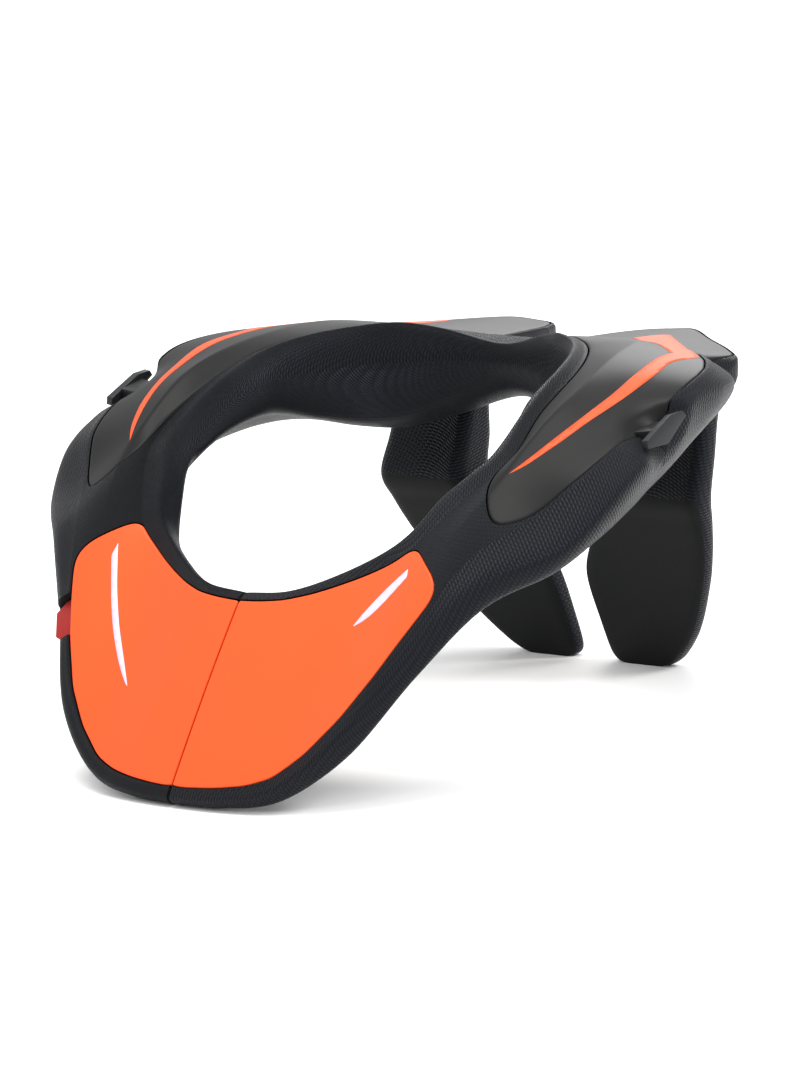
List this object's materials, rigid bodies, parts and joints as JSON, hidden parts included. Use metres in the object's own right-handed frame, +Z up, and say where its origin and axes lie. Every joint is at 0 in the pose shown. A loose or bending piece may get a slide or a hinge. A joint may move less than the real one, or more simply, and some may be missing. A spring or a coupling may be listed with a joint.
{
  "type": "motocross neck brace",
  "caption": "Moulded foam neck brace with an open ring collar, shoulder shells, chest panels, rear stabilisers and strap lugs.",
  "frame": {"origin": "on the floor under the middle of the part's bounding box, as the brace stands by itself", "axes": "+X to the wearer's left, +Y to the wearer's back, +Z up; the chest panels face -Y"},
  "size_m": [0.2876, 0.2728, 0.1466],
  "materials": {
    "foam_skin": "moulded polyurethane foam skin with an embossed weave",
    "shell_plastic": "smooth matte moulded plastic",
    "panel_plastic": "satin moulded plastic, coloured through",
    "lug_rubber": "moulded, matte",
    "tab_rubber": "moulded, satin"
  },
  "bodies": {
    "root": {"collar": "foam_skin", "chest_panel_left": "panel_plastic", "chest_panel_right": "panel_plastic", "shoulder_shell_left": "shell_plastic", "shoulder_shell_right": "shell_plastic", "rear_stabiliser_left": "foam_skin", "rear_stabiliser_right": "foam_skin", "strap_lug_left": "lug_rubber", "strap_lug_right": "lug_rubber", "pull_tab": "tab_rubber"}
  },
  "joints": []
}
